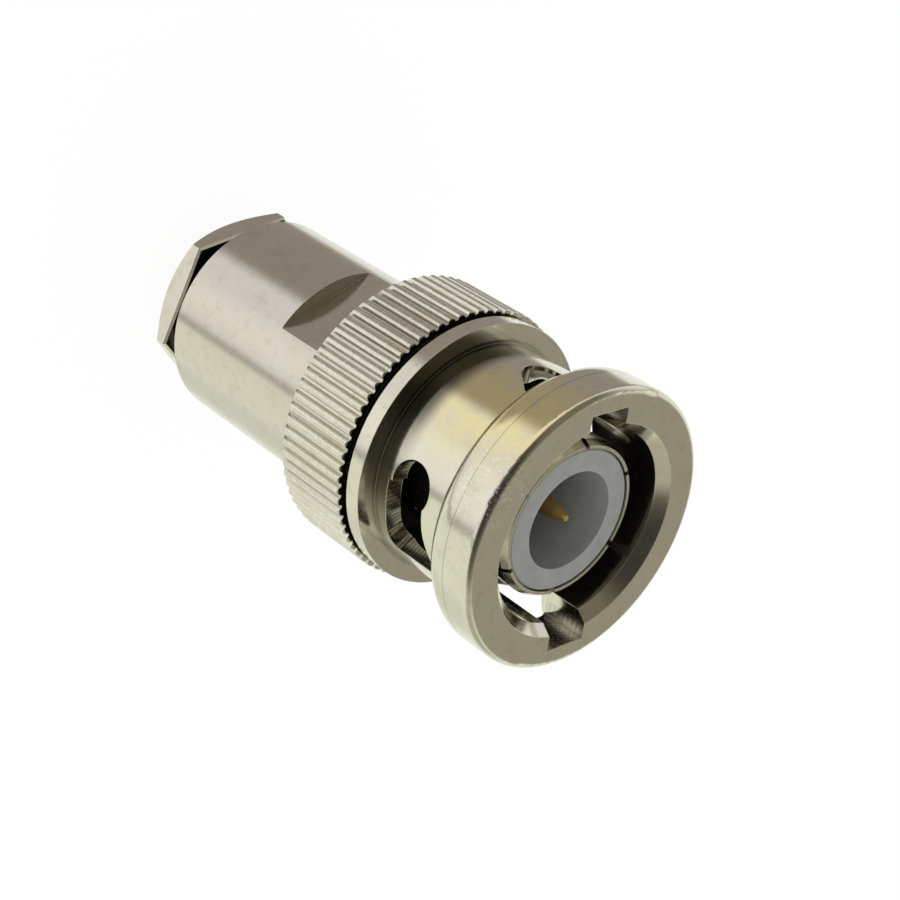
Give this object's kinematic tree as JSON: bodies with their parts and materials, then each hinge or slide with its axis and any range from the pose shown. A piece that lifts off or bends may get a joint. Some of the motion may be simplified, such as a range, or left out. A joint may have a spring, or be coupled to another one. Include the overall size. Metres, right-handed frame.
{
  "type": "bayonet coaxial cable plug",
  "caption": "Coaxial cable plug with a turning bayonet coupling, knurled grip ring, slotted outer contact, pin and clamp nut.",
  "frame": {"origin": "centre of the clamp nut's rear face, on which the plug stands", "axes": "+Z along the plug's axis towards the mating end, +X normal to one of the body's two wrench flats"},
  "size_m": [0.0142, 0.0142, 0.0274],
  "materials": {
    "nickel_sleeve": "nickel plated brass, turned and bright",
    "nickel_shell": "nickel plated brass, bright",
    "nickel_body": "nickel plated brass, turned and bright",
    "nickel_nut": "nickel plated brass, bright",
    "insulator": "grey white turned plastic",
    "gold": "gold plated brass",
    "silicone": "black silicone rubber",
    "spring_steel": "plain spring steel"
  },
  "bodies": {
    "plug_body": {"front_shell": "nickel_shell", "rear_body": "nickel_body", "front_insulator": "insulator", "rear_insulator": "insulator", "centre_contact": "gold", "front_gasket": "silicone", "spring_seat": "spring_steel", "wave_washer_front": "spring_steel", "wave_washer_rear": "spring_steel"},
    "sprung_washer": {"thrust_washer": "spring_steel"},
    "coupling": {"coupling_sleeve": "nickel_sleeve"},
    "clamp_stack": {"slip_washer": "nickel_nut", "cable_gasket": "silicone", "braid_clamp": "nickel_nut"},
    "nut": {"clamp_nut": "nickel_nut"}
  },
  "joints": [
    {"name": "coupling_slide", "type": "slide", "parent": "plug_body", "child": "sprung_washer", "axis": [0, 0, 1], "range_m": [0, 0.0008], "stiffness_N_per_m": 12000, "springref_m": -0.0004, "deforming": ["wave_washer_front", "wave_washer_rear"]},
    {"name": "coupling_turn", "type": "hinge", "parent": "sprung_washer", "child": "coupling", "pos_m": [0, 0, 0.0143], "axis": [0, 0, 1], "continuous": true},
    {"name": "nut_feed", "type": "slide", "parent": "plug_body", "child": "clamp_stack", "axis": [0, 0, -1], "range_m": [0, 0.00263]},
    {"name": "nut_turn", "type": "hinge", "parent": "clamp_stack", "child": "nut", "pos_m": [0, 0, 0.0023], "axis": [0, 0, -1], "range_deg": [0, 1260.01]}
  ],
  "couplings": [
    {"joint": "nut_turn", "follows": "nut_feed", "rad_per_m": 8377.6}
  ]
}
